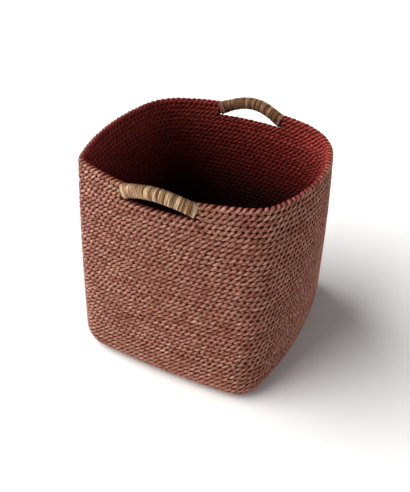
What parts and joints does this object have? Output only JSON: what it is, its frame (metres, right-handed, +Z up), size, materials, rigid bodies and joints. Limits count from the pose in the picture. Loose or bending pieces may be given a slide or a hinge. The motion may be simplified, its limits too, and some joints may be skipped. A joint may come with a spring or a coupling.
{
  "type": "coiled rope storage basket",
  "caption": "Open-top, nearly cubic storage basket of coiled twisted rope with rounded corners and twine-wrapped arched rim handles over hand slots.",
  "frame": {"origin": "on the floor, under the middle of the plan of the wall", "axes": "+Z up, -Y the front with one handle, +Y the back with the other handle, +X the right"},
  "size_m": [0.3878, 0.3745, 0.3735],
  "materials": {
    "wall_rope": "twisted jute rope of mixed rust-red and natural strands",
    "rim_rope": "the same rope in the top courses",
    "base_rope": "the same rope in the flat base",
    "handle_rope": "the same rope gathered inside the handles",
    "handle_twine": "natural tan jute twine",
    "binding_twine": "natural tan jute twine, the last turns"
  },
  "bodies": {
    "root": {"back_handle_core": "handle_rope", "back_handle_left_binding": "binding_twine", "back_handle_right_binding": "binding_twine", "back_handle_wrap": "handle_twine", "base_centre": "base_rope", "base_turns_01": "base_rope", "base_turns_02": "base_rope", "base_turns_03": "base_rope", "base_turns_04": "base_rope", "base_turns_05": "base_rope", "base_turns_06": "base_rope", "base_turns_07": "base_rope", "base_turns_08": "base_rope", "edge_course_01": "wall_rope", "edge_course_02": "wall_rope", "edge_course_03": "wall_rope", "edge_course_04": "wall_rope", "front_handle_core": "handle_rope", "front_handle_left_binding": "binding_twine", "front_handle_right_binding": "binding_twine", "front_handle_wrap": "handle_twine", "rim_course_34": "rim_rope", "rim_course_35": "rim_rope", "rim_course_36": "rim_rope", "wall_course_01": "wall_rope", "wall_course_02": "wall_rope", "wall_course_03": "wall_rope", "wall_course_04": "wall_rope", "wall_course_05": "wall_rope", "wall_course_06": "wall_rope", "wall_course_07": "wall_rope", "wall_course_08": "wall_rope", "wall_course_09": "wall_rope", "wall_course_10": "wall_rope", "wall_course_11": "wall_rope", "wall_course_12": "wall_rope", "wall_course_13": "wall_rope", "wall_course_14": "wall_rope", "wall_course_15": "wall_rope", "wall_course_16": "wall_rope", "wall_course_17": "wall_rope", "wall_course_18": "wall_rope", "wall_course_19": "wall_rope", "wall_course_20": "wall_rope", "wall_course_21": "wall_rope", "wall_course_22": "wall_rope", "wall_course_23": "wall_rope", "wall_course_24": "wall_rope", "wall_course_25": "wall_rope", "wall_course_26": "wall_rope", "wall_course_27": "wall_rope", "wall_course_28": "wall_rope", "wall_course_29": "wall_rope", "wall_course_30": "wall_rope", "wall_course_31": "wall_rope", "wall_course_32": "wall_rope", "wall_course_33": "wall_rope"}
  },
  "joints": []
}
